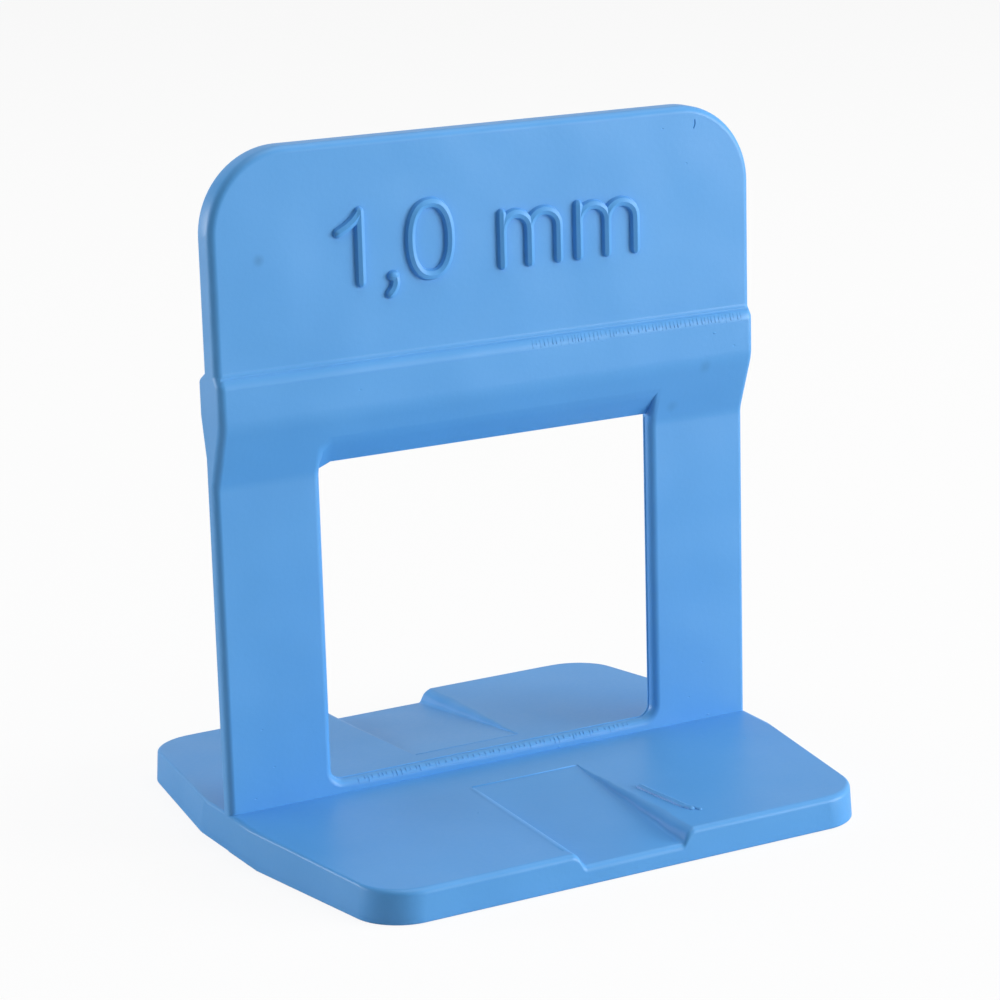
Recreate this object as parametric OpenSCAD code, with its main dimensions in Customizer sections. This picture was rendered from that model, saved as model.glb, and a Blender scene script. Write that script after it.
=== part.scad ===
// Tile levelling clip, moulded in one piece. The base lies under the edges of two tiles, the thin legs
// stand in the joint between them, and a wedge driven through the window presses the tiles level.
// Millimetres. X runs along the joint, Y across it with the front at -Y, and Z is up from the underside.
// The mould opens along Y and parts on the plane Y = 0, so the outlines narrow away from that plane.

/* [Base] */
// Width of the base where the legs stand
base_w = 36; // [30:0.5:44]
// Depth of the base across the joint
base_d = 32.5; // [26:0.5:42]
// Thickness of the base at its front and rear edges
edge_t = 2; // [1.6:0.05:2.6]
// Slope of the top face, falling away from the legs, in degrees
top_draft = 1.4; // [0:0.1:2]
// Angle by which the sides draw in towards the front and rear, in degrees
side_draft = 8.6; // [4:0.2:10]
// Width of the straight strip in the middle of each side, where the legs stand
side_flat = 7.5; // [2:0.1:10]
// Radius of the four corners
corner_r = 3; // [1:0.5:5]
// Rounding of the top edge at the front and rear
rim_r = 0.4; // [0.2:0.05:0.8]

/* [Recesses] */
// Distance from the joint's middle to where each recess starts
recess_start = 3.6; // [3:0.1:6]
// Thickness left under the recess at the edge of the base
recess_floor_t = 1.15; // [0.6:0.05:1.5]
// Width of the recess where it starts
recess_start_w = 7.3; // [5:0.1:10]
// Width of the recess floor at the edge of the base
recess_floor_w = 6.6; // [4:0.1:9]
// Angle by which the recess's walls lean out, in degrees from upright
recess_flare = 46; // [20:1:60]
// Fillet between the recess's floor and its walls
recess_r = 0.4; // [0.1:0.05:0.6]

/* [Legs and window] */
// Thickness of the legs, which is the joint they leave
leg_t = 1; // [0.8:0.1:1.4]
// Fillet where the legs and the sill meet the base
foot_r = 0.8; // [0.3:0.1:1.2]
// Width of the window
window_w = 22.4; // [16:0.1:26]
// Height of the window's sill above the underside
sill_z = 3.1; // [2.9:0.05:4]
// Height of the window's top edge above the underside
window_top_z = 22.5; // [18:0.1:23]
// Radius of the window's corners
window_r = 0.8; // [0.4:0.1:2]
// Rise of the crossbar's lower faces from the window's top edge, in degrees
ramp_angle = 51; // [30:0.5:55]

/* [Head] */
// Height from the underside to the top of the head
total_h = 41.3; // [38:0.1:50]
// Thickness of the head plate
head_t = 1.6; // [1.4:0.1:2]
// How far the head's middle plane stands in front of the legs' middle plane
head_shift = 0.6; // [0.2:0.05:0.75]
// Radius of the head's top corners
head_corner_r = 4.9; // [2:0.1:8]
// Rounding of the head's top edge
head_edge_r = 0.45; // [0.2:0.05:0.65]
// Thickness of the crossbar band under the head
band_t = 2.8; // [2.6:0.1:3.6]
// How far the band's middle plane stands in front of the legs' middle plane
band_shift = 0.4; // [0.2:0.05:0.7]
// Height of the band's top, where the step down from the head starts
band_top_z = 28.7; // [27.5:0.1:31]
// Height of the sloped step between the head and the band
step_h = 0.5; // [0.3:0.05:1]
// Rounding of the step's two bends
step_r = 0.35; // [0.1:0.05:0.4]
// Height at which the front face starts to draw in to the legs
front_taper_top_z = 25.6; // [25:0.1:26.5]
// Height at which the front face reaches the legs
front_taper_foot_z = 22; // [20:0.1:22.8]
// Height at which the rear face starts to draw in to the legs
rear_taper_top_z = 26.1; // [25.6:0.1:26.6]
// Height at which the rear face reaches the legs
rear_taper_foot_z = 23.6; // [22:0.1:24]
// Blend at the two bends of each taper
taper_r = 1.5; // [0.5:0.1:2]

/* [Hidden] */
$fn = 64;
// Overrun of cuts and of the views that another view trims
over = 1;
// Angle at which an arc leaves its side, so that the two meet in one clean edge
arc_tilt = 3;
// How far a corner's piece reaches past the sharp corner
corner_lap = 0.1;
// How far the head's corner arcs reach past the sides, so that they cross them cleanly
corner_over = 0.05;
half_d = base_d / 2;
half_leg = leg_t / 2;
half_w = base_w / 2;
// Sharp corners of the plan, from the straight strip and the draft of the sides
corner_x = half_w - (half_d - side_flat / 2) * tan(side_draft);
head_front = -head_shift - head_t / 2;
head_rear = -head_shift + head_t / 2;
band_front = -band_shift - band_t / 2;
band_rear = -band_shift + band_t / 2;
step_z = band_top_z - step_h;

// Height of the base's top face at a distance from the joint's middle
function top_z(y) = edge_t + (half_d - abs(y)) * tan(top_draft);
// Run of a recess to the edge, the fall of its floor and the turn of its walls over that run
recess_run = half_d - recess_start;
recess_slope = atan((top_z(recess_start) - recess_floor_t) / recess_run);
recess_turn = atan((recess_start_w - recess_floor_w) / 2 / recess_run);
// Length and height of the recess's cut, past the part's surface all round
recess_cut = recess_run + 3 * over;
recess_lift = edge_t + over;

function unit(v) = v / norm(v);
function xy(c) = [c[0], c[1]];
function radius(c) = len(c) > 2 ? c[2] : 0;

// Closed outline from corners [x, y, r] in anticlockwise order, with a true arc in each corner where r > 0
module rounded_outline(corners) {
    n = len(corners);
    difference() {
        union() {
            polygon([for (c = corners) xy(c)]);
            for (i = [0:n - 1])
                corner_piece(corners[(i + 1) % n], corners[i], corners[(i + n - 1) % n]);
        }
        for (i = [0:n - 1])
            corner_piece(corners[(i + n - 1) % n], corners[i], corners[(i + 1) % n]);
    }
}

// Piece between the sharp corner b and its arc, where the way from a to c turns left at b
module corner_piece(a, b, c) {
    if (radius(b) > 0 && cross(xy(b) - xy(a), xy(c) - xy(b)) > 0) {
        to_a = unit(xy(a) - xy(b));
        to_c = unit(xy(c) - xy(b));
        half = acos(to_a * to_c) / 2;
        inward = unit(to_a + to_c);
        gap = radius(b) * cos(arc_tilt);
        difference() {
            polygon([
                xy(b) + to_a * gap / tan(half),
                xy(b) - inward * corner_lap,
                xy(b) + to_c * gap / tan(half)
            ]);
            translate(xy(b) + inward * gap / sin(half)) circle(radius(b));
        }
    }
}

// Extrusions of a view drawn as [y, z] along X, and as [x, z] along Y, both centred
module along_x(length) rotate([90, 0, 90]) linear_extrude(length, center = true) children();
module along_y(length) rotate([90, 0, 0]) linear_extrude(length, center = true) children();

// Side view: base, leg, band and head in one section
module side_view() {
    rounded_outline([
        [-half_d, 0],
        [half_d, 0],
        [half_d, edge_t, rim_r],
        [half_leg, top_z(half_leg), foot_r],
        [half_leg, rear_taper_foot_z, taper_r],
        [band_rear, rear_taper_top_z, taper_r],
        [band_rear, step_z, step_r],
        [head_rear, band_top_z, step_r],
        [head_rear, total_h, head_edge_r],
        [head_front, total_h, head_edge_r],
        [head_front, band_top_z, step_r],
        [band_front, step_z, step_r],
        [band_front, front_taper_top_z, taper_r],
        [-half_leg, front_taper_foot_z, taper_r],
        [-half_leg, top_z(half_leg), foot_r],
        [-half_d, edge_t, rim_r]
    ]);
}

// Plan: sides that draw in from a straight strip at the legs, and rounded corners
module plan() {
    rounded_outline([
        [corner_x, -half_d, corner_r],
        [half_w, -side_flat / 2],
        [half_w, side_flat / 2],
        [corner_x, half_d, corner_r],
        [-corner_x, half_d, corner_r],
        [-half_w, side_flat / 2],
        [-half_w, -side_flat / 2],
        [-corner_x, -half_d, corner_r]
    ]);
}

// Front view: the round-cornered head over the legs
module front_view() {
    x = half_w + corner_over;
    rounded_outline([
        [-x, -over],
        [x, -over],
        [x, total_h, head_corner_r],
        [-x, total_h, head_corner_r]
    ]);
}

// Window between the legs, with a top edge on the parting plane and faces that rise from it both ways
module window() {
    x = window_w / 2;
    reach = band_t;
    crown_z = window_top_z + reach * tan(ramp_angle);
    intersection() {
        along_x(window_w + 2 * over)
            polygon([
                [-reach, sill_z - over],
                [reach, sill_z - over],
                [reach, crown_z],
                [0, window_top_z],
                [-reach, crown_z]
            ]);
        along_y(2 * reach + over)
            rounded_outline([
                [-x, sill_z, window_r],
                [x, sill_z, window_r],
                [x, crown_z + over],
                [-x, crown_z + over]
            ]);
    }
}

// Right half of a recess, drawn on its own floor: the floor with one flared wall, which closes in to the front
module recess_half() {
    translate([recess_start_w / 2, 0, 0])
        rotate(-recess_turn)
            translate([0, over - recess_cut / 2, 0])
                along_y(recess_cut)
                    rounded_outline([
                        [-2 * recess_start_w, 0],
                        [0, 0, recess_r],
                        [recess_lift * tan(recess_flare), recess_lift],
                        [-2 * recess_start_w, recess_lift]
                    ]);
}

// Shallow trough sunk in the top face, from nothing near the joint to its full depth at the front edge
module recess() {
    translate([0, -recess_start, top_z(recess_start)])
        rotate([recess_slope, 0, 0])
            intersection() {
                recess_half();
                mirror([1, 0, 0]) recess_half();
            }
}

module clip() {
    color([0.36, 0.6, 0.85])
        difference() {
            intersection() {
                along_x(base_w + 2 * over) side_view();
                translate([0, 0, -over]) linear_extrude(total_h + 2 * over) plan();
                along_y(base_d + 2 * over) front_view();
            }
            window();
            for (turn = [0, 180])
                rotate(turn) recess();
        }
}

clip();
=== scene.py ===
"""Tile levelling clip: one blue moulding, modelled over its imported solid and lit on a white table."""

import logging
import math
import random
from dataclasses import dataclass, field
from enum import Enum
from typing import Callable

import bmesh
import bpy
from mathutils import Matrix, Vector

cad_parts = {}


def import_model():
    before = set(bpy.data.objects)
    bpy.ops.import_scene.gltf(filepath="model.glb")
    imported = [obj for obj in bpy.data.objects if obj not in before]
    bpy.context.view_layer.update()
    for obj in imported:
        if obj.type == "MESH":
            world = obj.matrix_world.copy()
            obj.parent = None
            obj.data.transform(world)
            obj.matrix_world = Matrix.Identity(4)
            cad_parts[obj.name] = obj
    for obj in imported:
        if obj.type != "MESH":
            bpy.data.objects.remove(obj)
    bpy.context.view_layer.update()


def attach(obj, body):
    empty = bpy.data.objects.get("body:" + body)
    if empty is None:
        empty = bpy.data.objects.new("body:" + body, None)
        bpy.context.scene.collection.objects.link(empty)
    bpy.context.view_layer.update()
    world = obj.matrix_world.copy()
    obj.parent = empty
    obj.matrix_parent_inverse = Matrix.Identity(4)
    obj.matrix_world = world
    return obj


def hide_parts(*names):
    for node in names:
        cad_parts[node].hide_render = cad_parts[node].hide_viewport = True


LOG = logging.getLogger("clip")

# Metres in a millimetre, in which all shapes are modelled
MM = 0.001
# Width of base, legs and head
WIDTH = 36.0
# How near a vertex lies to a plane to count as on it
NEAR = 1e-3
# How near two vertices of one shape lie to become one
WELD = 1e-5

# A point in space, a pair of measures, and a question about a vertex's place
Place = tuple[float, float, float]
Pair = tuple[float, float]
Test = Callable[[Vector], bool]


class Axis(Enum):
    """Directions of the part's own frame."""

    X = (1.0, 0.0, 0.0)
    Y = (0.0, 1.0, 0.0)
    Z = (0.0, 0.0, 1.0)


class Cut(Enum):
    """Ways in which one solid works on another."""

    ADD = "UNION"
    TAKE = "DIFFERENCE"


class Sides(Enum):
    """Numbers of faces round a rod."""

    HAIR = 8
    PLAIN = 12
    BROAD = 24


class Face(Enum):
    """Faces of the clip that carry specks: three fronts and the base's top."""

    HEAD = "head"
    BAND = "band"
    LEG = "leg"
    TOP = "top"


class Bench:
    """Modelling steps shared by the pieces. Shapes are in millimetres until they are finished."""

    # Turns of the rings that round off a rod's ends, in degrees
    FINE_CAP = (30, 55, 75, 87)
    HAIR_CAP = (45, 80)
    # Angle between two faces up to which they are shaded as one, in degrees
    SMOOTH_BELOW = 28

    @staticmethod
    def activate(obj: bpy.types.Object) -> None:
        """Make one object the only selected and active one.

        Args:
            obj: The object.
        """
        bpy.ops.object.select_all(action="DESELECT")
        obj.select_set(True)
        bpy.context.view_layer.objects.active = obj

    @staticmethod
    def block(name: str, low: Place, high: Place) -> bpy.types.Object:
        """Add a cuboid between two corners.

        Args:
            name: Name of the new object.
            low: Lowest corner.
            high: Highest corner.

        Returns:
            The new object, with its place in its mesh.
        """
        bpy.ops.object.select_all(action="DESELECT")
        bpy.ops.mesh.primitive_cube_add(size=1)
        obj = bpy.context.object
        obj.name = name
        obj.scale = [top - foot for foot, top in zip(low, high)]
        obj.location = [(top + foot) / 2 for foot, top in zip(low, high)]
        bpy.ops.object.transform_apply(location=True, rotation=True, scale=True)
        return obj

    @staticmethod
    def pick(obj: bpy.types.Object, test: Test) -> int:
        """Select the vertices at which a test holds, and the edges and faces between them.

        Args:
            obj: Object in edit mode.
            test: Takes a vertex's place and says whether it is picked.

        Returns:
            How many vertices were picked.
        """
        bpy.ops.mesh.select_mode(type="VERT")
        mesh = bmesh.from_edit_mesh(obj.data)
        for vert in mesh.verts:
            vert.select_set(bool(test(vert.co)))
        mesh.select_flush_mode()
        mesh.select_flush(True)
        bmesh.update_edit_mesh(obj.data)
        return sum(v.select for v in mesh.verts)

    @staticmethod
    def bisect(obj: bpy.types.Object, axis: Axis, places: tuple) -> None:
        """Cut rows of vertices right round a solid.

        Args:
            obj: Object to cut.
            axis: Normal of the cutting planes.
            places: Where the planes lie along the axis.
        """
        Bench.activate(obj)
        bpy.ops.object.mode_set(mode="EDIT")
        for place in places:
            bpy.ops.mesh.select_all(action="SELECT")
            bpy.ops.mesh.bisect(
                plane_co=[c * place for c in axis.value], plane_no=axis.value, threshold=WELD
            )
        bpy.ops.object.mode_set(mode="OBJECT")

    @staticmethod
    def shift(obj: bpy.types.Object, test: Test, by: Place) -> None:
        """Move the vertices at which a test holds.

        Args:
            obj: Object to change.
            test: Takes a vertex's place and says whether it moves.
            by: How far they move.
        """
        Bench.activate(obj)
        bpy.ops.object.mode_set(mode="EDIT")
        if Bench.pick(obj, test):
            bpy.ops.transform.translate(value=by)
        bpy.ops.object.mode_set(mode="OBJECT")

    @staticmethod
    def round_edges(obj: bpy.types.Object, test: Test, offset: float, segments: int) -> None:
        """Round the edges whose two ends pass a test.

        Args:
            obj: Object to change.
            test: Takes a vertex's place and says whether its edges are rounded.
            offset: Distance along the faces from the edge to the rounding.
            segments: Steps in the rounding.
        """
        Bench.activate(obj)
        bpy.ops.object.mode_set(mode="EDIT")
        Bench.pick(obj, test)
        bpy.ops.mesh.bevel(offset=offset, segments=segments, affect="EDGES")
        bpy.ops.object.mode_set(mode="OBJECT")

    @staticmethod
    def combine(obj: bpy.types.Object, tool: bpy.types.Object, how: Cut) -> None:
        """Add a solid to another or take it away, and delete the tool.

        Args:
            obj: Solid that is kept.
            tool: Solid that works on it.
            how: Whether the tool is added or taken away.
        """
        Bench.activate(obj)
        step = obj.modifiers.new(how.value, "BOOLEAN")
        step.operation = how.value
        step.solver = "EXACT"
        step.object = tool
        bpy.ops.object.modifier_apply(modifier=step.name)
        bpy.data.objects.remove(tool)

    @staticmethod
    def capped(points: list, radius: float, sides: Sides) -> list:
        """Lengthen a rod at both ends by rings that draw in to a round cap.

        Args:
            points: Places along the rod, each with its share of the radius.
            radius: Radius of the rod.
            sides: Number of faces round the rod, which sets how fine its caps are.

        Returns:
            The points with those of the caps.
        """
        head, tail = points[0][0], points[-1][0]
        out_head = (head - points[1][0]).normalized() * radius
        out_tail = (tail - points[-2][0]).normalized() * radius
        cap = Bench.HAIR_CAP if sides is Sides.HAIR else Bench.FINE_CAP
        turns = [math.radians(a) for a in cap]
        first = [(head + out_head * math.sin(a), math.cos(a)) for a in reversed(turns)]
        last = [(tail + out_tail * math.sin(a), math.cos(a)) for a in turns]
        return first + points + last

    @staticmethod
    def ridge(name: str, lines: list, radius: float, sides: Sides = Sides.PLAIN) -> bpy.types.Object:
        """Lay round-ended rods along lines, to be joined to a solid as ridges or cut out of it.

        Args:
            name: Name of the new object.
            lines: Lines of points; one that ends where it starts is a ring.
            radius: Radius of the rods.
            sides: Number of faces round a rod.

        Returns:
            The rods as one mesh.
        """
        curve = bpy.data.curves.new(name, "CURVE")
        curve.dimensions = "3D"
        curve.bevel_depth = radius
        curve.bevel_resolution = sides.value // 4 - 1
        curve.use_fill_caps = True
        for line in lines:
            points = [(Vector(p), 1.0) for p in line]
            ring = (points[0][0] - points[-1][0]).length < WELD
            points = points[:-1] if ring else Bench.capped(points, radius, sides)
            spline = curve.splines.new("POLY")
            spline.points.add(len(points) - 1)
            spline.use_cyclic_u = ring
            for point, (place, share) in zip(spline.points, points):
                point.co = (*place, 1.0)
                point.radius = share
        rods = bpy.data.objects.new(name, curve)
        bpy.context.scene.collection.objects.link(rods)
        Bench.activate(rods)
        bpy.ops.object.convert(target="MESH")
        obj = bpy.context.object
        bpy.ops.object.mode_set(mode="EDIT")
        bpy.ops.mesh.select_all(action="SELECT")
        bpy.ops.mesh.remove_doubles(threshold=WELD)
        bpy.ops.mesh.normals_make_consistent(inside=False)
        bpy.ops.object.mode_set(mode="OBJECT")
        return obj

    @staticmethod
    def finish(obj: bpy.types.Object) -> None:
        """Bring a shape from millimetres to metres and give it smooth roundings beside flat faces.

        Args:
            obj: Shape to finish.
        """
        Bench.activate(obj)
        obj.scale = (MM, MM, MM)
        bpy.ops.object.transform_apply(location=True, rotation=True, scale=True)
        bpy.ops.object.shade_smooth_by_angle(angle=math.radians(Bench.SMOOTH_BELOW))
        step = obj.modifiers.new("flats", "WEIGHTED_NORMAL")
        step.keep_sharp = True
        bpy.ops.object.modifier_apply(modifier=step.name)


@dataclass
class SizeMark:
    """Raised mark on the head: the joint in millimetres, drawn as round ridges with points (x, z)."""

    # Front face of the head
    plane_y: float
    # Radius of the ridges, how much thinner every other one is so that no two share a surface, and how
    # far their middle lines stand in front of the face
    ridge_r: float = 0.33
    ridge_step: float = 0.012
    stand: float = 0.02
    foot_z: float = 33.1
    # Figure 1: its stem and its flag
    one_x: float = -8.63
    one_top_z: float = 37.1
    one_flag: tuple[Pair, ...] = ((-8.66, 37.05), (-9.0, 36.66), (-9.4, 36.36), (-10.0, 36.05))
    # Decimal comma: its dot and its tail
    comma_dot: tuple[Pair, ...] = ((-6.62, 33.22), (-6.5, 33.22))
    comma_tail: tuple[Pair, ...] = (
        (-6.46, 33.1), (-6.44, 32.85), (-6.5, 32.6), (-6.62, 32.38), (-6.78, 32.22),
    )
    # Figure 0: middle and half sizes of its ring, and powers below 1 that make it fuller than an ellipse
    nought_mid: Pair = (-4.10, 35.11)
    nought_half: Pair = (1.3, 2.1)
    nought_power: Pair = (0.85, 0.9)
    nought_steps: int = 40
    # Letters m: their stems, the left stem's top, the arches' tops and the height at which they spring
    m_stems: tuple[Place, ...] = ((0.64, 2.48, 4.45), (5.815, 7.78, 9.77))
    m_stem_top_z: float = 36.07
    m_arch_top_z: float = 36.02
    m_spring_z: float = 35.1
    m_arch_steps: int = 11

    def one(self) -> list:
        """Lines of the figure 1."""
        return [[(self.one_x, self.foot_z), (self.one_x, self.one_top_z)], self.one_flag]

    def comma(self) -> list:
        """Lines of the decimal comma."""
        return [self.comma_dot, self.comma_tail]

    def nought(self) -> list:
        """Draw the figure 0, a tall ring.

        Returns:
            One line that ends where it starts.
        """
        (mid_x, mid_z), (half_x, half_z) = self.nought_mid, self.nought_half
        power_x, power_z = self.nought_power
        ring = []
        for i in list(range(self.nought_steps)) + [0]:
            turn = 2 * math.pi * i / self.nought_steps
            c, s = math.cos(turn), math.sin(turn)
            ring.append((
                mid_x + half_x * math.copysign(abs(c) ** power_x, c),
                mid_z + half_z * math.copysign(abs(s) ** power_z, s),
            ))
        return [ring]

    def letter_m(self, stems: Place) -> list:
        """Draw a letter m.

        Args:
            stems: Places of its three stems.

        Returns:
            The left stem, and two arches that run down into the other stems.
        """
        lines = [[(stems[0], self.foot_z), (stems[0], self.m_stem_top_z)]]
        rise = self.m_arch_top_z - self.m_spring_z
        turns = [math.pi * i / self.m_arch_steps for i in range(self.m_arch_steps + 1)]
        for left, right in zip(stems, stems[1:]):
            mid, half = (left + right) / 2, (right - left) / 2
            arch = [(mid - half * math.cos(a), self.m_spring_z + rise * math.sin(a)) for a in turns]
            lines.append(arch + [(right, self.foot_z)])
        return lines

    def strokes(self) -> list:
        """Make the strokes of the mark.

        Returns:
            One solid ridge for each line.
        """
        letters = [line for stems in self.m_stems for line in self.letter_m(stems)]
        lines = self.one() + self.comma() + self.nought() + letters
        y = self.plane_y - self.stand
        return [
            Bench.ridge(
                "mark_stroke", [[(x, y, z) for x, z in line]], self.ridge_r - self.ridge_step * (i % 2)
            )
            for i, line in enumerate(lines)
        ]


@dataclass
class UprightPlate:
    """Legs, crossbar and head in one plate with a window, in millimetres."""

    width: float = WIDTH
    height: float = 41.3
    leg_t: float = 1.0
    # Where the plate ends inside the base
    root_z: float = 1.0
    # Front and rear faces of the head and of the thicker band under it
    head_front: float = -1.4
    head_rear: float = 0.2
    band_front: float = -1.8
    band_rear: float = 1.0
    # Heights between which the band draws in to the legs, and the reaches of the bends at both
    front_foot_z: float = 22.0
    front_top_z: float = 25.6
    front_bend: Pair = (0.3, 0.5)
    rear_foot_z: float = 23.6
    rear_top_z: float = 26.1
    rear_bend: Pair = (0.1, 0.2)
    bend_steps: int = 6
    # Heights of the sloped step between band and head
    step_low_z: float = 28.2
    step_high_z: float = 28.7
    # Corners of the head
    head_r: float = 4.9
    head_steps: int = 22
    # Window, with the rise of its top faces in degrees
    window_w: float = 22.4
    sill_z: float = 3.1
    window_top_z: float = 22.5
    window_r: float = 0.8
    window_steps: int = 5
    ramp_angle: float = 51.0
    # How far the window's top edge sags at the left corner, and the length over which it does
    droop: float = 0.34
    droop_reach: float = 0.85
    # Parting ridge round the window: its plane, its radius and how far below the top edge it ends
    flash_y: float = 0.18
    flash_r: float = 0.055
    flash_end: float = 0.3
    flash_steps: int = 8
    # Line along the step's slope: its height, radius and depth, and how far from the sides it ends
    groove_z: float = 28.54
    groove_r: float = 0.14
    groove_deep: float = 0.05
    groove_in: float = 0.2
    # Short cut near the head's right corner, as points (x, z), and how far its middle lies off the face
    scratch_line: tuple[Pair, ...] = ((14.12, 40.39), (14.13, 40.15), (14.04, 39.93))
    scratch_r: float = 0.07
    scratch_off: float = 0.02
    # Cutter's scores: their radius and the seed of their spread
    score_r: float = 0.08
    score_seed: int = 11
    # Scores on the step: where they start, how far from the right side they end, their spacing, how far
    # they run down, and where they bend, as (behind the band's face, above the step's foot)
    step_score_x: float = 2.4
    step_score_in: float = 0.7
    step_score_gap: Pair = (0.19, 0.34)
    step_score_drop: Pair = (0.12, 0.42)
    step_score_top: Pair = (0.20, 0.14)
    step_score_mid: Pair = (0.11, -0.04)
    step_score_foot: float = 0.062
    # Scores on the sill: how far to both sides they reach, their spacing, how far they run down and back,
    # and how deep their foot, bend and top lie behind the leg's face or under the sill
    sill_score_x: float = 9.5
    sill_score_gap: Pair = (0.2, 0.5)
    sill_score_drop: Pair = (0.3, 0.45)
    sill_score_back: Pair = (0.23, 0.30)
    sill_score_foot: float = 0.072
    sill_score_mid: float = 0.16
    sill_score_top: float = 0.093

    @staticmethod
    def between(z: float, points: list) -> float:
        """Read a profile at a height.

        Args:
            z: Height.
            points: The profile's corners as (height, offset), from low to high.

        Returns:
            The profile's offset there.
        """
        for (z0, y0), (z1, y1) in zip(points, points[1:]):
            if z <= z1:
                return y0 + (y1 - y0) * max(0.0, z - z0) / (z1 - z0)
        return points[-1][1]

    def bent(self, foot: Pair, top: Pair, reaches: Pair) -> list:
        """Draw a sloped face between two upright ones, with a soft bend at each end.

        Args:
            foot: Height and offset of the lower corner.
            top: Height and offset of the upper corner.
            reaches: Heights from the lower and the upper corner to where their bends start.

        Returns:
            Points (height, offset) from the lower face to the upper one.
        """
        rate = (top[1] - foot[1]) / (top[0] - foot[0])
        bends = ((foot, reaches[0], 0.0, rate), (top, reaches[1], rate, 0.0))
        points = []
        for (z, y), reach, before, after in bends:
            for i in range(self.bend_steps + 1):
                t = i / self.bend_steps
                points.append((
                    z + reach * (2 * t - 1),
                    y - before * reach * (1 - t) ** 2 + after * reach * t**2,
                ))
        return points

    def frame(self) -> bpy.types.Object:
        """Model legs, crossbar and head, still without the window.

        Returns:
            The sharp-edged plate, which reaches down into the base.
        """
        half, leg = self.width / 2, self.leg_t / 2
        obj = Bench.block("clip_frame", (-half, -leg, self.root_z), (half, leg, self.height))
        front = self.bent(
            (self.front_foot_z, -leg), (self.front_top_z, self.band_front), self.front_bend
        ) + [(self.step_low_z, self.band_front), (self.step_high_z, self.head_front)]
        rear = self.bent(
            (self.rear_foot_z, leg), (self.rear_top_z, self.band_rear), self.rear_bend
        ) + [(self.step_low_z, self.band_rear), (self.step_high_z, self.head_rear)]
        rows = tuple(sorted({z for z, _ in front + rear}))
        Bench.bisect(obj, Axis.Z, rows)
        for z in rows + (self.height,):
            for side, points in ((-1, front), (1, rear)):
                Bench.shift(
                    obj,
                    lambda co: abs(co.z - z) < NEAR and co.y * side > 0,
                    (0, self.between(z, points) - side * leg, 0),
                )
        for side in (-1, 1):
            Bench.round_edges(
                obj,
                lambda co: abs(co.z - self.height) < NEAR and co.x * side > half - NEAR,
                self.head_r,
                self.head_steps,
            )
        return obj

    def window(self) -> bpy.types.Object:
        """Model the solid that cuts the window, with a top that rises both ways from the parting plane.

        Returns:
            The cutter.
        """
        half, reach = self.window_w / 2, 4.0
        middle_z = (self.sill_z + self.window_top_z) / 2
        obj = Bench.block(
            "window_cut", (-half, -reach, self.sill_z), (half, reach, self.window_top_z)
        )
        Bench.bisect(obj, Axis.Y, (0.0,))
        rise = reach * math.tan(math.radians(self.ramp_angle))
        Bench.shift(
            obj, lambda co: co.z > self.window_top_z - NEAR and abs(co.y) > NEAR, (0, 0, rise)
        )
        for side in (-1, 1):
            Bench.round_edges(
                obj,
                lambda co: co.z < self.sill_z + NEAR and co.x * side > 0,
                self.window_r,
                self.window_steps,
            )
        Bench.bisect(obj, Axis.X, (self.droop_reach - half,))
        Bench.shift(
            obj,
            lambda co: co.x < NEAR - half and abs(co.y) < NEAR and co.z > middle_z,
            (0, 0, -self.droop),
        )
        bpy.ops.object.mode_set(mode="EDIT")
        Bench.pick(obj, lambda co: co.x < self.droop_reach - half + NEAR and co.z > middle_z)
        bpy.ops.mesh.quads_convert_to_tris()
        bpy.ops.object.mode_set(mode="OBJECT")
        return obj

    def flash(self) -> bpy.types.Object:
        """Model the thin ridge that the mould's parting left round the window.

        Returns:
            The ridge.
        """
        half, low, r, y = self.window_w / 2, self.sill_z, self.window_r, self.flash_y
        turns = [math.radians(180 + 90 * i / self.flash_steps) for i in range(self.flash_steps + 1)]
        left = [(-half + r + r * math.cos(a), y, low + r + r * math.sin(a)) for a in turns]
        right = [(-x, y, z) for x, y, z in reversed(left)]
        high = self.window_top_z - self.flash_end
        line = [(-half, y, high)] + left + right + [(half, y, high)]
        return Bench.ridge("flash", [line], self.flash_r, Sides.HAIR)

    def groove(self) -> bpy.types.Object:
        """Model the rod that cuts the soft line along the step's slope.

        Returns:
            The cutter.
        """
        rise, back = self.step_high_z - self.step_low_z, self.head_front - self.band_front
        off = (self.groove_r - self.groove_deep) / math.hypot(rise, back)
        y = self.band_front + back * (self.groove_z - self.step_low_z) / rise - off * rise
        z, reach = self.groove_z + off * back, self.width / 2 - self.groove_in
        return Bench.ridge("groove", [[(-reach, y, z), (reach, y, z)]], self.groove_r, Sides.BROAD)

    def scratch(self) -> bpy.types.Object:
        """Model the rod that cuts the scratch near the head's right corner.

        Returns:
            The cutter.
        """
        y = self.head_front - self.scratch_off
        line = [(x, y, z) for x, z in self.scratch_line]
        return Bench.ridge("scratch", [line], self.scratch_r, Sides.HAIR)

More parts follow.
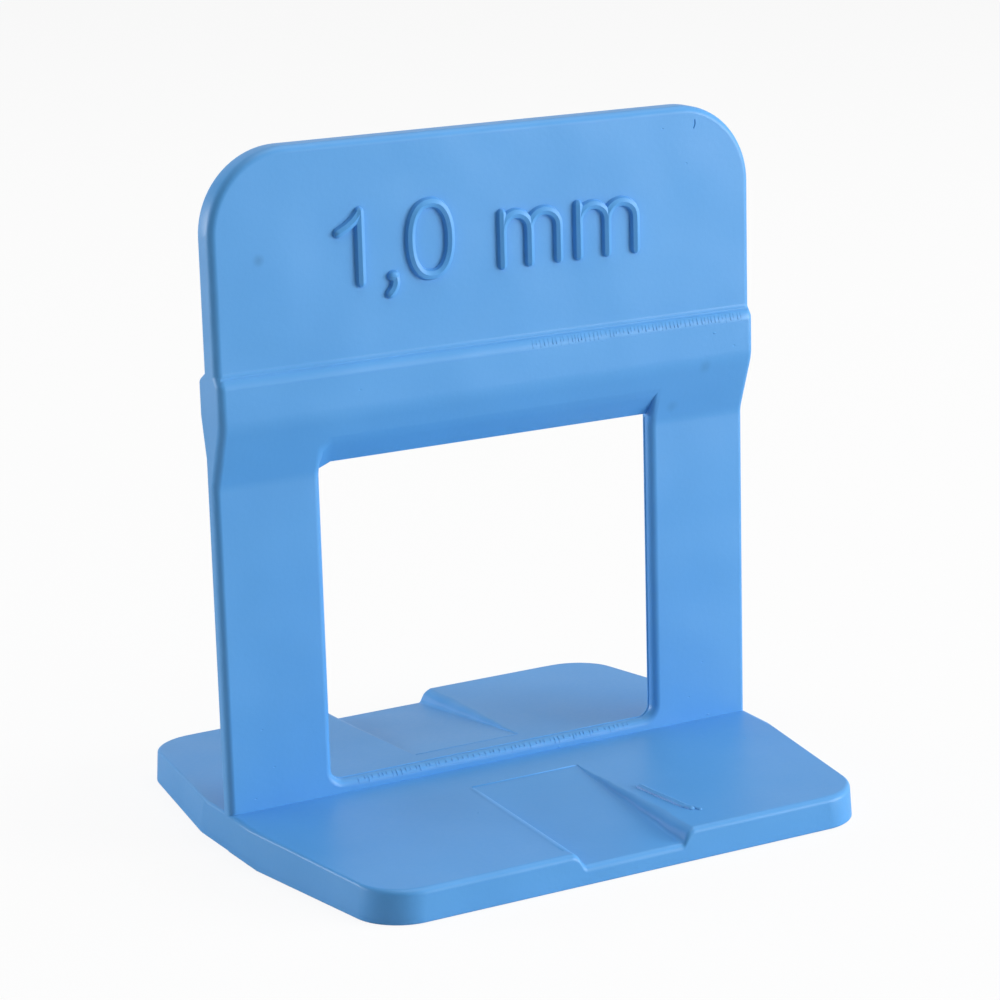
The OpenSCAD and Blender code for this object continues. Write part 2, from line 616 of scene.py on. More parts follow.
    def tool_marks(self) -> bpy.types.Object:
        """Model the fine upright scores that the mould's cutter left on the step and the sill.

        Returns:
            The scores as ridges.
        """
        dice = random.Random(self.score_seed)
        band, step, leg, sill = self.band_front, self.step_low_z, -self.leg_t / 2, self.sill_z
        lines = []
        x = self.step_score_x
        while x < self.width / 2 - self.step_score_in:
            low = step - dice.uniform(*self.step_score_drop)
            lines.append([
                (x, band + self.step_score_top[0], step + self.step_score_top[1]),
                (x, band + self.step_score_mid[0], step + self.step_score_mid[1]),
                (x, band + self.step_score_foot, low),
            ])
            x += dice.uniform(*self.step_score_gap)
        x = -self.sill_score_x
        while x < self.sill_score_x:
            low = sill - dice.uniform(*self.sill_score_drop)
            lines.append([
                (x, leg + self.sill_score_foot, low),
                (x, leg + self.sill_score_mid, sill - self.sill_score_mid),
                (x, leg + dice.uniform(*self.sill_score_back), sill - self.sill_score_top),
            ])
            x += dice.uniform(*self.sill_score_gap)
        return Bench.ridge("tool_marks", lines, self.score_r, Sides.HAIR)


@dataclass
class BasePlate:
    """Plate under the tiles, with a recess in its top at the front and the rear, in millimetres."""

    width: float = WIDTH
    depth: float = 32.5
    # Thickness at the front and rear edges, and the fall of the top towards them in degrees
    edge_t: float = 2.0
    top_draft: float = 1.4
    # Sides: their draw-in in degrees, the straight strip in their middle and their lean at the top
    side_draft: float = 8.6
    side_flat: float = 7.5
    side_flare: float = 0.15
    corner_r: float = 3.0
    corner_steps: int = 18
    # How far the mould's rear half stands back at the left side, up to which height and from which depth
    mismatch: float = 0.1
    mismatch_z: float = 2.2
    mismatch_y: float = 0.02
    # Recess: where it starts, what is left under it at the edge, its width at both ends, and the step down
    # at its start
    recess_start: float = 3.6
    recess_floor_t: float = 1.15
    recess_start_w: float = 7.3
    recess_floor_w: float = 6.6
    recess_lip: float = 0.03
    # Recess walls: their lean from upright in degrees, and the roundings at their foot and crest, which
    # together take up this share of a shallow wall at most
    recess_flare: float = 28.0
    recess_foot_r: float = 0.3
    recess_crest_r: float = 0.8
    wall_share: float = 0.95
    wall_steps: int = 6
    # Angles at which the walls run out into the top face, along the recess and at its mouth, in degrees
    leave_angle: float = 7.0
    mouth_angle: float = 22.0
    # Distance from the edge at which the mouth begins, and the length over which it opens
    mouth_reach: float = 3.0
    mouth_run: float = 2.4
    # Unevenness of the walls: its height, a slow and a quick wave in radians per millimetre, the quick
    # one's share and phase, and the share of it all that the left wall has
    wave_high: float = 0.035
    wave_slow: float = 2.1
    wave_quick: float = 5.3
    quick_share: float = 0.6
    quick_phase: float = 1.0
    left_share: float = 0.5
    # Raised line where a recess starts: its radius, how deep its middle lies and how far its ends draw in
    lip_r: float = 0.06
    lip_sink: float = 0.03
    lip_in: float = 0.1
    # Raised line on the front recess's left edge: its radius, how deep its middle lies, how far outside the
    # wall it runs, the share of the wall's rounding added to that, and where along the run its points lie
    crest_r: float = 0.5
    crest_sink: float = 0.46
    crest_out: float = 0.12
    crest_round: float = 0.6
    crest_shares: tuple[float, ...] = (0.02, 0.2, 0.4, 0.6, 0.8, 0.93)
    # Curl of plastic beside the front recess: lines (x, y) with their radius, and the share of it that lies
    # under the top face
    curls: tuple = (
        (((4.92, -8.9), (5.05, -10.2), (5.24, -11.6), (5.40, -13.0)), 0.3),
        (((5.34, -12.2), (5.55, -13.5)), 0.26),
        (((5.72, -13.2), (5.9, -13.9)), 0.16),
    )
    curl_sink: float = 0.38

    def top_z(self, y: float) -> float:
        """Height of the top face at a distance y from the joint."""
        return self.edge_t + (self.depth / 2 - abs(y)) * math.tan(math.radians(self.top_draft))

    def plate(self) -> bpy.types.Object:
        """Model the plate: drafted sides, round corners and a top that falls away from the legs.

        Returns:
            The sharp-edged plate, without recesses.
        """
        half_w, half_d = self.width / 2, self.depth / 2
        obj = Bench.block("clip_base", (-half_w, -half_d, 0), (half_w, half_d, self.edge_t))
        Bench.bisect(obj, Axis.Y, (-self.side_flat / 2, 0.0, self.side_flat / 2))
        draw_in = (half_d - self.side_flat / 2) * math.tan(math.radians(self.side_draft))
        for side in (-1, 1):
            Bench.shift(
                obj,
                lambda co: co.x * side > 0 and abs(co.y) > half_d - NEAR,
                (-side * draw_in, 0, 0),
            )
        turn = math.radians(90 - self.side_draft)
        for sx in (-1, 1):
            for sy in (-1, 1):
                Bench.round_edges(
                    obj,
                    lambda co: co.x * sx > half_w - draw_in - NEAR and co.y * sy > half_d - NEAR,
                    self.corner_r * math.tan(turn / 2),
                    self.corner_steps,
                )
        strip_in = self.side_flare / math.tan(math.radians(self.side_draft))
        bpy.ops.object.mode_set(mode="EDIT")
        mesh = bmesh.from_edit_mesh(obj.data)
        for vert in mesh.verts:
            co = vert.co
            if co.z < self.edge_t / 2:
                continue
            if abs(co.y) > NEAR:
                if abs(co.x) > half_w - NEAR:
                    co.y -= math.copysign(strip_in, co.y)
                else:
                    co.x -= math.copysign(self.side_flare, co.x)
            co.z = self.top_z(co.y)
        bmesh.update_edit_mesh(obj.data)
        bpy.ops.object.mode_set(mode="OBJECT")
        return obj

    def mould_step(self) -> bpy.types.Object:
        """Model the block that sets the rear half of the left side back.

        Returns:
            The cutter.
        """
        left, past = -self.width / 2, 1.0
        return Bench.block(
            "half_step",
            (left - past, self.mismatch_y, -past),
            (left + self.mismatch, self.side_flat, self.mismatch_z),
        )

    def recess_wall(self, deep: float, leave: float) -> list:
        """Draw one wall of a recess as it curves up from the floor and out into the top face.

        Args:
            deep: Depth of the floor under the top face.
            leave: Angle at which the wall meets the top face, in radians.

        Returns:
            Points (outward, upward) from where the floor and the sloped wall would meet.
        """
        lean, over, steps = math.radians(90 - self.recess_flare), 0.4, self.wall_steps
        room = (self.recess_foot_r + self.recess_crest_r) * (1 - math.cos(lean))
        share = min(1.0, self.wall_share * deep / room)
        foot_r, crest_r = share * self.recess_foot_r, share * self.recess_crest_r
        start = -foot_r * math.tan(lean / 2)
        foot = [
            (start + foot_r * math.sin(a), foot_r * (1 - math.cos(a)))
            for a in (lean * i / steps for i in range(steps + 1))
        ]
        brow = deep / math.tan(lean) + crest_r * math.tan(lean / 2)
        crest = [
            (brow - crest_r * math.sin(a), deep - crest_r * (1 - math.cos(a)))
            for a in (lean + (leave - lean) * i / steps for i in range(steps + 1))
        ]
        out, up = crest[-1]
        return foot + crest + [(out + over, up + over * math.tan(leave))]

    def recess_sections(self, side: int, rows: int) -> list:
        """Draw the cross-sections of a recess, from its start to past the edge.

        Args:
            side: -1 for the front of the base, 1 for the rear.
            rows: Number of sections.

        Returns:
            A row of points for each section, from the left wall's crest to the right one's.
        """
        past, last_in = 1.0, 0.6
        run = self.depth / 2 - self.recess_start
        steps = [(run - last_in) * row / (rows - 2) for row in range(rows - 1)] + [run + past]
        start_z = self.top_z(self.recess_start) - self.recess_lip
        slope = (start_z - self.recess_floor_t) / run
        taper = (self.recess_start_w - self.recess_floor_w) / 2 / run
        sections = []
        for far in steps:
            y, floor = self.recess_start + far, start_z - far * slope
            opening = min(1.0, max(0.0, (far - run + self.mouth_reach) / self.mouth_run))
            leave = self.leave_angle + (self.mouth_angle - self.leave_angle) * opening
            wall = self.recess_wall(self.top_z(y) - floor, math.radians(leave))
            half = self.recess_start_w / 2 - far * taper
            quick = self.quick_share * math.sin(self.wave_quick * y + self.quick_phase)
            wave = self.wave_high * (math.sin(self.wave_slow * y) + quick)
            left = [
                (-half - out + self.left_share * wave, side * y, floor + up)
                for out, up in reversed(wall)
            ]
            right = [(half + out + wave, side * y, floor + up) for out, up in wall]
            sections.append(left + right)
        return sections

    def recess(self, side: int) -> bpy.types.Object:
        """Model the solid that cuts a shallow recess in the top, open at the edge.

        Args:
            side: -1 for the front of the base, 1 for the rear.

        Returns:
            The cutter.
        """
        rows, lift = 26, 3.0
        sections = self.recess_sections(side, rows)
        columns = len(sections[0])
        bpy.ops.object.select_all(action="DESELECT")
        bpy.ops.mesh.primitive_grid_add(x_subdivisions=columns - 1, y_subdivisions=rows - 1, size=2)
        obj = bpy.context.object
        obj.name = "recess_cut"
        bpy.ops.object.mode_set(mode="EDIT")
        mesh = bmesh.from_edit_mesh(obj.data)
        for vert in mesh.verts:
            column = round((vert.co.x + 1) / 2 * (columns - 1))
            row = round((vert.co.y + 1) / 2 * (rows - 1))
            vert.co = sections[row][column]
        bmesh.update_edit_mesh(obj.data)
        bpy.ops.mesh.select_all(action="SELECT")
        bpy.ops.mesh.extrude_region_move(TRANSFORM_OT_translate={"value": (0, 0, lift)})
        bpy.ops.mesh.select_all(action="SELECT")
        bpy.ops.mesh.normals_make_consistent(inside=False)
        bpy.ops.object.mode_set(mode="OBJECT")
        return obj

    def lips(self) -> list:
        """Model the thin raised lines where the recesses start.

        Returns:
            One ridge for each recess.
        """
        half, y = self.recess_start_w / 2 - self.lip_in, self.recess_start
        z = self.top_z(y) - self.lip_sink
        lines = [[(-half, side * y, z), (half, side * y, z)] for side in (-1, 1)]
        return [Bench.ridge("lip", [line], self.lip_r, Sides.HAIR) for line in lines]

    def crest(self) -> bpy.types.Object:
        """Model the soft raised line along the left edge of the front recess.

        Returns:
            The ridge.
        """
        run = self.depth / 2 - self.recess_start
        lean = math.radians(90 - self.recess_flare)
        line = []
        for share in self.crest_shares:
            y = self.recess_start + run * share
            deep = share * (self.edge_t - self.recess_floor_t)
            half = self.recess_start_w / 2 - share * (self.recess_start_w - self.recess_floor_w) / 2
            brow = deep / math.tan(lean) + self.crest_round * deep * math.tan(lean / 2)
            line.append((-half - (brow + self.crest_out), -y, self.top_z(y) - self.crest_sink))
        return Bench.ridge("crest", [line], self.crest_r, Sides.BROAD)

    def scuff(self) -> list:
        """Model the curl of plastic pushed up beside the front recess.

        Returns:
            Its ridges.
        """
        return [
            Bench.ridge("scuff", [[(x, y, self.top_z(y) - self.curl_sink * r) for x, y in line]], r)
            for line, r in self.curls
        ]


@dataclass
class ClipBody:
    """The whole moulding: upright plate and base in one, with soft edges and marks, in millimetres."""

    upright: UprightPlate = field(default_factory=UprightPlate)
    base: BasePlate = field(default_factory=BasePlate)
    # Roundings of the base: underside, front and rear rims, side rims
    under_r: float = 0.1
    rim_r: float = 0.4
    side_rim_r: float = 0.09
    # Roundings of the upright plate: its front edges, those of them that stand upright, its rear edges,
    # and the ridge and the hollow of its step
    edge_r: float = 0.44
    upright_r: float = 0.5
    rear_edge_r: float = 0.25
    step_ridge_r: float = 0.34
    step_hollow_r: float = 0.15
    round_steps: int = 5
    # Angles between an edge's faces in degrees: the least that is rounded, the least of the plate's outer
    # edges and the least of the base's rims
    bend_above: float = 8.0
    edge_above: float = 45.0
    rim_above: float = 70.0
    # Shares of an edge's direction from which it counts as along an axis, or as running to the rear
    along: float = 0.9
    rearward: float = 0.3
    # How near an edge's middle lies to a plane to count as on it
    on_plane: float = 0.01
    # Half width of the strip that holds the recesses, how far inside the base's edge their own edges end,
    # and how far under the sill the base's edges end
    recess_strip: float = 5.0
    mouth_in: float = 0.1
    sill_gap: float = 0.5
    # Distance from the window beyond which an edge at the right is an outer one
    beside: float = 1.0
    # Limits for joining the plates: distance between vertices, and angle between flat faces in degrees
    join: float = 1e-4
    flat_below: float = 0.2
    # Specks: radius of pits and grains, their length as a share of it, and how far off the face they sit
    pit_r: float = 0.08
    grain_r: float = 0.09
    speck_reach: float = 0.4
    speck_off: float = 0.05
    # Their places, as (x, z) on a front and (x, y) on the base's top
    pits: tuple[tuple[Face, float, float], ...] = (
        (Face.BAND, 16.53, 26.4),
        (Face.BAND, -9.14, 26.91),
        (Face.LEG, 14.78, 6.12),
        (Face.LEG, 13.77, 3.99),
        (Face.TOP, 7.35, -7.99),
        (Face.TOP, -5.42, -7.62),
        (Face.TOP, 9.88, -2.41),
        (Face.HEAD, 11.84, 40.07),
        (Face.HEAD, 13.49, 37.85),
        (Face.LEG, -15.72, 7.25),
        (Face.LEG, -15.03, 4.85),
        (Face.LEG, -16.31, 3.12),
    )
    grains: tuple[tuple[Face, float, float], ...] = (
        (Face.BAND, 15.12, 27.34),
        (Face.LEG, 15.18, 2.6),
        (Face.TOP, 15.02, -4.94),
        (Face.LEG, 4.26, 2.5),
    )

    def sharp(self) -> bpy.types.Object:
        """Join the plates and make the large cuts.

        Returns:
            The clip with sharp edges.
        """
        obj = self.upright.frame()
        Bench.combine(obj, self.upright.window(), Cut.TAKE)
        Bench.combine(obj, self.base.plate(), Cut.ADD)
        for side in (-1, 1):
            Bench.combine(obj, self.base.recess(side), Cut.TAKE)
        Bench.activate(obj)
        bpy.ops.object.mode_set(mode="EDIT")
        bpy.ops.mesh.select_all(action="SELECT")
        bpy.ops.mesh.remove_doubles(threshold=self.join)
        bpy.ops.mesh.dissolve_limited(angle_limit=math.radians(self.flat_below))
        bpy.ops.object.mode_set(mode="OBJECT")
        return obj

    def base_rounding(self, mid: Vector, way: Vector, angle: float) -> float:
        """Say how far an edge of the sharp base is rounded.

        Args:
            mid: Middle of the edge.
            way: Direction of the edge.
            angle: Angle between its faces in degrees, below zero in a hollow.

        Returns:
            Offset of the rounding along the faces, 0 where the edge stays as it is.
        """
        if mid.z < self.on_plane:
            return self.under_r
        mouth = self.base.depth / 2 - self.mouth_in
        in_recess = abs(mid.x) < self.recess_strip and abs(mid.y) < mouth
        at_foot = abs(way.x) > self.along and abs(mid.y) < self.upright.leg_t
        if at_foot or in_recess or abs(way.z) > self.along or abs(angle) < self.rim_above:
            return 0.0
        return self.side_rim_r + (self.rim_r - self.side_rim_r) * abs(way.x)

    def plate_rounding(self, mid: Vector, way: Vector, angle: float) -> float:
        """Say how far an edge of the sharp upright plate is rounded.

        Args:
            mid: Middle of the edge.
            way: Direction of the edge.
            angle: Angle between its faces in degrees, below zero in a hollow.

        Returns:
            Offset of the rounding along the faces, 0 where the edge stays as it is.
        """
        if abs(angle) < self.edge_above:
            if abs(way.y) > self.rearward:
                return 0.0
            if abs(way.x) > self.along:
                return self.step_ridge_r if angle > 0 else self.step_hollow_r
        if abs(mid.y) < self.on_plane or angle < 0:
            return 0.0
        if mid.y > 0:
            return self.rear_edge_r
        if mid.x > self.upright.window_w / 2 + self.beside:
            return self.edge_r
        return self.edge_r + (self.upright_r - self.edge_r) * abs(way.z)

    def soften(self, obj: bpy.types.Object) -> None:
        """Round the edges of the sharp clip, each by its own amount.

        Args:
            obj: The sharp clip.
        """
        mesh = bmesh.new()
        mesh.from_mesh(obj.data)
        weight = mesh.edges.layers.float.new("bevel_weight_edge")
        for edge in mesh.edges:
            start, end = (v.co for v in edge.verts)
            mid, way = (start + end) / 2, (end - start).normalized()
            angle = math.degrees(edge.calc_face_angle_signed())
            low = mid.z < self.upright.sill_z - self.sill_gap
            rounding = self.base_rounding if low else self.plate_rounding
            edge[weight] = rounding(mid, way, angle) if abs(angle) >= self.bend_above else 0.0
        mesh.to_mesh(obj.data)
        mesh.free()
        Bench.activate(obj)
        step = obj.modifiers.new("edges", "BEVEL")
        step.limit_method = "WEIGHT"
        step.offset_type = "OFFSET"
        # With a width of 1 mm, an edge's weight is its rounding in millimetres
        step.width = 1.0
        step.segments = self.round_steps
        step.use_clamp_overlap = False
        bpy.ops.object.modifier_apply(modifier=step.name)

    def on_face(self, face: Face, x: float, other: float, off: float) -> Place:
        """Find a point near one of the clip's faces.

        Args:
            face: The face.
            x: Place across the clip.
            other: Height of a point at a front, or depth of one at the base's top.
            off: Distance from the face, below zero inside the plastic.

        Returns:
            The point.
        """
        if face is Face.TOP:
            return x, other, self.base.top_z(other) + off
        fronts = {
            Face.HEAD: self.upright.head_front,
            Face.BAND: self.upright.band_front,
            Face.LEG: -self.upright.leg_t / 2,
        }
        return x, fronts[face] - off, other

    def specks(self, places: tuple, radius: float, off: float) -> list:
        """Model grains of dirt, or the tools that cut pits, as round-ended dots.

        Args:
            places: The faces that they sit on, with their places there.
            radius: Radius of a dot.
            off: Distance of its middle from the face, below zero inside the plastic.

        Returns:
            One solid for each dot.
        """
        reach = self.speck_reach * radius
        dots = [self.on_face(face, x, other, off) for face, x, other in places]
        return [
            Bench.ridge("speck", [[(x - reach, y, z), (x + reach, y, z)]], radius, Sides.HAIR)
            for x, y, z in dots
        ]

    def build(self) -> bpy.types.Object:
        """Model the moulding with its soft edges and small marks.

        Returns:
            The finished moulding in metres.
        """
        obj = self.sharp()
        self.soften(obj)
        obj.name = "clip_moulding"
        upright, base, mark = self.upright, self.base, SizeMark(self.upright.head_front)
        pits = self.specks(self.pits, self.pit_r, self.speck_off)
        grains = self.specks(self.grains, self.grain_r, -self.speck_off)
        works = (
            (Cut.TAKE, [base.mould_step(), upright.groove()]),
            (Cut.ADD, base.scuff() + mark.strokes() + base.lips() + [base.crest()]),
            (Cut.TAKE, [upright.scratch()] + pits),
            (Cut.ADD, grains + [upright.flash(), upright.tool_marks()]),
        )
        for how, tools in works:
            for tool in tools:
                Bench.combine(obj, tool, how)
        Bench.finish(obj)
        return obj

    @staticmethod
    def dress(obj: bpy.types.Object, plastic: bpy.types.Material) -> None:
        """Give the moulding its plastic as its only material."""
        obj.data.materials.clear()
        obj.data.materials.append(plastic)


def linear(code: str) -> tuple:
    """Turn an sRGB hex colour into linear values.

    Args:
        code: Six hex digits after a hash.

    Returns:
        Red, green, blue and alpha.
    """
    parts = [int(code[i : i + 2], 16) / 255 for i in (1, 3, 5)]
    return tuple(c / 12.92 if c <= 0.04045 else ((c + 0.055) / 1.055) ** 2.4 for c in parts) + (1.0,)


def add_node(
    tree: bpy.types.NodeTree, kind: str, settings: dict | None = None, **links: bpy.types.NodeSocket
) -> bpy.types.Node:
    """Add a node with its settings and links.

    Args:
        tree: Node tree that gets it.
        kind: Blender's name for the node type.
        settings: Socket or property names with their values.
        links: Input names, with spaces as underscores, and the outputs linked to them.

    Returns:
        The new node.
    """
    node = tree.nodes.new(kind)
    for name, value in (settings or {}).items():
        if name in node.inputs:
            node.inputs[name].default_value = value
        else:
            setattr(node, name, value)
    for name, output in links.items():
        tree.links.new(output, node.inputs[name.replace("_", " ")])
    return node


@dataclass(frozen=True)
class MouldedPolypropylene:
    """Blue polypropylene from a fine-eroded mould: a satin skin with slow sink waves and faint mottling."""

    # Colour of the plastic, which drifts a little in blotches of this size
    colour_deep: str = "#549ee0"
    colour_pale: str = "#5da6e6"
    mottle_mm: float = 5.0
    # Soft sheen: mean roughness and its spread, the plastic's IOR, and a weaker shine than the IOR gives
    roughness: float = 0.42
    satin: float = 0.06
    ior: float = 1.49
    specular: float = 0.35
    # Sink waves, which make broad faces look a little uneven
    wave_mm: float = 7.0
    wave_deep_mm: float = 0.25
    # Eroded skin, drawn coarser than the real grain of some hundredths so that it shows
    grain_mm: float = 0.3
    grain_deep_mm: float = 0.006
    # Stains: their colour, and for each its middle, its reach and its strength
    stain: str = "#3f7fb8"
    stains_mm: tuple[tuple[Place, float, float], ...] = (
        ((-15.0, -1.4, 35.0), 0.5, 0.5),
        ((14.5, -1.75, 25.3), 0.6, 0.35),
        ((12.6, -0.9, 22.9), 0.6, 0.3),
    )

    def colour(
        self, tree: bpy.types.NodeTree, place: bpy.types.NodeSocket, mottle: bpy.types.NodeSocket
    ) -> bpy.types.NodeSocket:
        """Mix the plastic's colour and lay the stains over it.

        Args:
            tree: The material's node tree.
            place: Object coordinates.
            mottle: Blotches between the deep and the pale colour.

        Returns:
            The colour.
        """
        tint = add_node(tree, "ShaderNodeMix", {"data_type": "RGBA"}, Factor=mottle)
        tint.inputs["A"].default_value = linear(self.colour_deep)
        tint.inputs["B"].default_value = linear(self.colour_pale)
        colour = tint.outputs["Result"]
        for centre, reach, share in self.stains_mm:
            far = add_node(tree, "ShaderNodeVectorMath", {"operation": "DISTANCE"}, Vector=place)
            far.inputs[1].default_value = [c * MM for c in centre]
            fade = {"From Max": reach * MM, "To Min": share, "To Max": 0.0}
            spot = add_node(
                tree,
                "ShaderNodeMapRange",
                {"interpolation_type": "SMOOTHSTEP", **fade},
                Value=far.outputs["Value"],
            )
            soiled = add_node(
                tree, "ShaderNodeMix", {"data_type": "RGBA"}, Factor=spot.outputs["Result"]
            )
            tree.links.new(colour, soiled.inputs["A"])
            soiled.inputs["B"].default_value = linear(self.stain)
            colour = soiled.outputs["Result"]
        return colour

    def make(self) -> bpy.types.Material:
        """Make the material.

        Returns:
            The material, with its patterns fixed to the object.
        """
        material = bpy.data.materials.new("moulded_polypropylene_blue")
        material.use_nodes = True
        tree = material.node_tree
        tree.nodes.clear()
        place = add_node(tree, "ShaderNodeTexCoord").outputs["Object"]
        waves, grain, mottle = (
            add_node(
                tree, "ShaderNodeTexNoise", {"Scale": 1.0 / (size * MM), "Detail": detail}, Vector=place
            ).outputs["Fac"]
            for size, detail in ((self.wave_mm, 1.0), (self.grain_mm, 3.0), (self.mottle_mm, 2.0))
        )
        satin = add_node(
            tree,
            "ShaderNodeMapRange",
            {"To Min": self.roughness - self.satin, "To Max": self.roughness + self.satin},
            Value=grain,
        )
        skin = add_node(
            tree,
            "ShaderNodeBump",
            {"Strength": 1.0, "Distance": self.grain_deep_mm * MM},
            Height=grain,
        )
        sink = add_node(
            tree,
            "ShaderNodeBump",
            {"Strength": 1.0, "Distance": self.wave_deep_mm * MM},
            Height=waves,
            Normal=skin.outputs["Normal"],
        )
        shader = add_node(
            tree,
            "ShaderNodeBsdfPrincipled",
            {"IOR": self.ior, "Specular IOR Level": self.specular},
            Base_Color=self.colour(tree, place, mottle),
            Roughness=satin.outputs["Result"],
            Normal=sink.outputs["Normal"],
        )
        add_node(tree, "ShaderNodeOutputMaterial", Surface=shader.outputs["BSDF"])
        return material


@dataclass(frozen=True)
class MattBoard:
    """White matt board of the table: white to the eye, a little darker where it lights the clip."""

    lit: str = "#dcdcdc"
    seen: str = "#ffffff"
    # How much of what is seen glows by itself; the rest keeps the clip's shadow
    glow: float = 0.9

    def make(self) -> bpy.types.Material:
        """Make the material.

        Returns:
            The material.
        """
        material = bpy.data.materials.new("table_white")
        material.use_nodes = True
        tree = material.node_tree
        tree.nodes.clear()
        path = add_node(tree, "ShaderNodeLightPath")
        by_eye, through = path.outputs["Is Camera Ray"], path.outputs["Is Transmission Ray"]
        shade = add_node(tree, "ShaderNodeMix", {"data_type": "RGBA"}, Factor=by_eye)
        shade.inputs["A"].default_value = linear(self.lit)
        shade.inputs["B"].default_value = linear(self.seen)
        matt = add_node(tree, "ShaderNodeBsdfDiffuse", Color=shade.outputs["Result"])
        glow = add_node(tree, "ShaderNodeEmission", {"Color": linear(self.seen), "Strength": 1.0})
        both = add_node(tree, "ShaderNodeMath", {"operation": "MAXIMUM"})
        tree.links.new(by_eye, both.inputs[0])
        tree.links.new(through, both.inputs[1])
        share = add_node(tree, "ShaderNodeMath", {"operation": "MULTIPLY"})
        tree.links.new(both.outputs[0], share.inputs[0])
        share.inputs[1].default_value = self.glow
        mix = add_node(tree, "ShaderNodeMixShader", Fac=share.outputs[0])
        tree.links.new(matt.outputs[0], mix.inputs[1])
        tree.links.new(glow.outputs[0], mix.inputs[2])
        add_node(tree, "ShaderNodeOutputMaterial", Surface=mix.outputs[0])
        return material


@dataclass(frozen=True)
class BlackFlock:
    """Black flocked paper of the cards: so dark that what reflects it looks deeper in colour."""

    black: str = "#0a0a0a"

    def make(self) -> bpy.types.Material:
        """Make the material.

        Returns:
            The material.
        """
        material = bpy.data.materials.new("black_flock")
        material.use_nodes = True
        shader = material.node_tree.nodes["Principled BSDF"]
        shader.inputs["Base Color"].default_value = linear(self.black)
        return material


@dataclass(frozen=True)
class DarkCard:
    """Black card that rounded edges reflect, a square that faces the clip, in metres."""

    name: str
    place: Place
    size: float
    # Whether it also keeps light away; if not, only reflections show it
    shades: bool


@dataclass(frozen=True)
class Softbox:
    """Oblong soft lamp that faces the clip, in metres and watts."""

    name: str
    place: Place
    size: Pair
    power: float
    # Share of the lamp that glossy reflections show
    gloss: float = 1.0


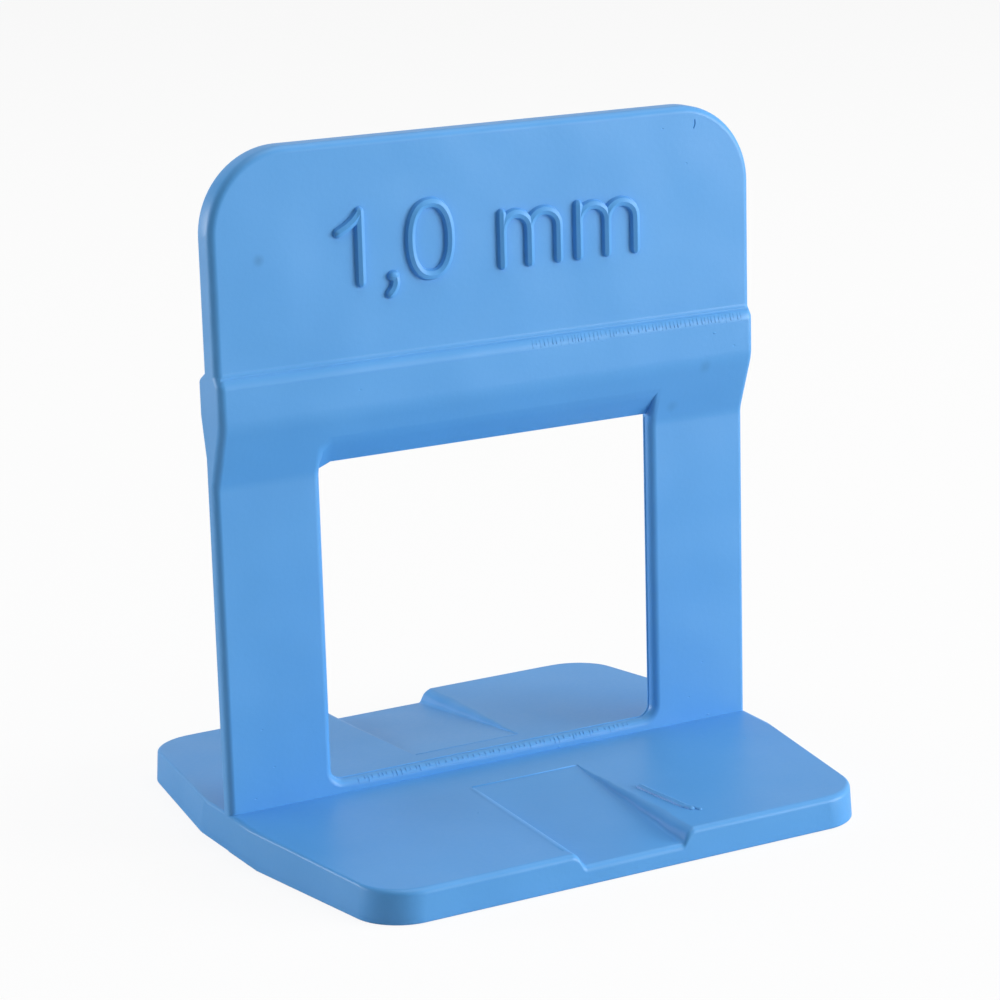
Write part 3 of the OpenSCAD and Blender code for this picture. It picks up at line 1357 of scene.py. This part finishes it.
@dataclass
class Studio:
    """White table, dark cards, soft lamps and the camera, in metres."""

    table_size: float = 4.0
    # Strength of the white surround where it lights the clip
    sky_light: float = 0.2
    # Point that cards and lamps face
    aim: Place = (0.0, 0.0, 0.02)
    cards: tuple[DarkCard, ...] = (
        DarkCard("front_card", (-0.26, -0.30, 0.12), 0.5, True),
        DarkCard("rear_card", (-0.50, 0.50, 0.20), 0.8, False),
    )
    lamps: tuple[Softbox, ...] = (
        Softbox("right_softbox", (0.40, -0.34, 0.07), (0.36, 0.26), 3.3),
        Softbox("left_rear_softbox", (-0.50, 0.40, 0.07), (0.45, 0.2), 3.0, 0.1),
        Softbox("top_softbox", (0.12, -0.06, 0.58), (0.5, 0.5), 1.9),
    )
    # Camera: its directions in degrees, its distance, and the point in the picture's middle, which lies
    # this far to the camera's right of the clip's middle and this high
    azimuth: float = -29.052
    elevation: float = 14.057
    roll: float = -1.566
    distance_mm: float = 192.216
    across_mm: float = 0.7422
    up_mm: float = 18.6605
    lens_mm: float = 115.55
    sensor_mm: float = 36.0
    nearest: float = 0.01

    def table(self) -> None:
        """Make the table that the clip stands on."""
        bpy.ops.object.select_all(action="DESELECT")
        bpy.ops.mesh.primitive_plane_add(size=self.table_size)
        obj = bpy.context.object
        obj.name = "table"
        obj.data.materials.append(MattBoard().make())

    def hang(self, card: DarkCard) -> None:
        """Hang a dark card.

        Args:
            card: The card.
        """
        bpy.ops.object.select_all(action="DESELECT")
        bpy.ops.mesh.primitive_plane_add(size=card.size)
        obj = bpy.context.object
        obj.name = card.name
        obj.location = card.place
        obj.rotation_euler = (Vector(self.aim) - obj.location).to_track_quat("Z", "Y").to_euler()
        bpy.ops.object.transform_apply(location=True, rotation=True, scale=True)
        obj.data.materials.append(BlackFlock().make())
        obj.visible_camera = False
        obj.visible_diffuse = obj.visible_shadow = card.shades

    def surround(self) -> None:
        """Make a white surround that the eye and reflections see, and a dimmer one that lights."""
        world = bpy.data.worlds.new("studio")
        bpy.context.scene.world = world
        world.use_nodes = True
        tree = world.node_tree
        tree.nodes.clear()
        path = add_node(tree, "ShaderNodeLightPath")
        eye = add_node(tree, "ShaderNodeMath", {"operation": "MAXIMUM"})
        tree.links.new(path.outputs["Is Camera Ray"], eye.inputs[0])
        tree.links.new(path.outputs["Is Glossy Ray"], eye.inputs[1])
        both = add_node(tree, "ShaderNodeMath", {"operation": "MAXIMUM"})
        tree.links.new(eye.outputs[0], both.inputs[0])
        tree.links.new(path.outputs["Is Transmission Ray"], both.inputs[1])
        level = add_node(
            tree, "ShaderNodeMapRange", {"To Min": self.sky_light, "To Max": 1.0}, Value=both.outputs[0]
        )
        sky = add_node(tree, "ShaderNodeBackground", Strength=level.outputs["Result"])
        add_node(tree, "ShaderNodeOutputWorld", Surface=sky.outputs[0])

    def light(self, lamp: Softbox) -> None:
        """Put up a soft lamp.

        Args:
            lamp: The lamp.
        """
        data = bpy.data.lights.new(lamp.name, "AREA")
        data.shape = "RECTANGLE"
        data.size, data.size_y = lamp.size
        data.energy = lamp.power
        data.specular_factor = lamp.gloss
        obj = bpy.data.objects.new(lamp.name, data)
        obj.location = lamp.place
        towards = Vector(self.aim) - Vector(lamp.place)
        obj.rotation_euler = towards.to_track_quat("-Z", "Y").to_euler()
        bpy.context.scene.collection.objects.link(obj)

    def camera(self) -> None:
        """Set the camera where the photograph was taken from."""
        azimuth, elevation, roll = (
            math.radians(a) for a in (self.azimuth, self.elevation, self.roll)
        )
        back = Vector((
            math.sin(azimuth) * math.cos(elevation),
            -math.cos(azimuth) * math.cos(elevation),
            math.sin(elevation),
        ))
        level = (-back).cross(Vector(Axis.Z.value)).normalized()
        upright = level.cross(-back)
        right = level * math.cos(roll) + upright * math.sin(roll)
        up = upright * math.cos(roll) - level * math.sin(roll)
        target = level * (self.across_mm * MM) + Vector((0, 0, self.up_mm * MM))
        place = target + back * (self.distance_mm * MM)
        data = bpy.data.cameras.new("photo_camera")
        data.lens = self.lens_mm
        data.sensor_width = self.sensor_mm
        data.clip_start = self.nearest
        obj = bpy.data.objects.new("photo_camera", data)
        obj.matrix_world = Matrix((
            (right.x, up.x, back.x, place.x),
            (right.y, up.y, back.y, place.y),
            (right.z, up.z, back.z, place.z),
            (0, 0, 0, 1),
        ))
        bpy.context.scene.collection.objects.link(obj)
        bpy.context.scene.camera = obj

    def build(self) -> None:
        """Set up table, cards, surround, lamps and camera."""
        self.table()
        for card in self.cards:
            self.hang(card)
        self.surround()
        for lamp in self.lamps:
            self.light(lamp)
        self.camera()
        bpy.context.scene.view_settings.view_transform = "Standard"


def main() -> None:
    """Build the clip and its setting."""
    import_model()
    clip = ClipBody()
    body = clip.build()
    clip.dress(body, MouldedPolypropylene().make())
    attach(body, "root")
    LOG.info("%s: %d faces", body.name, len(body.data.polygons))
    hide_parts("clip")
    Studio().build()


if __name__ == "__main__":
    logging.basicConfig(level=logging.INFO)
    main()
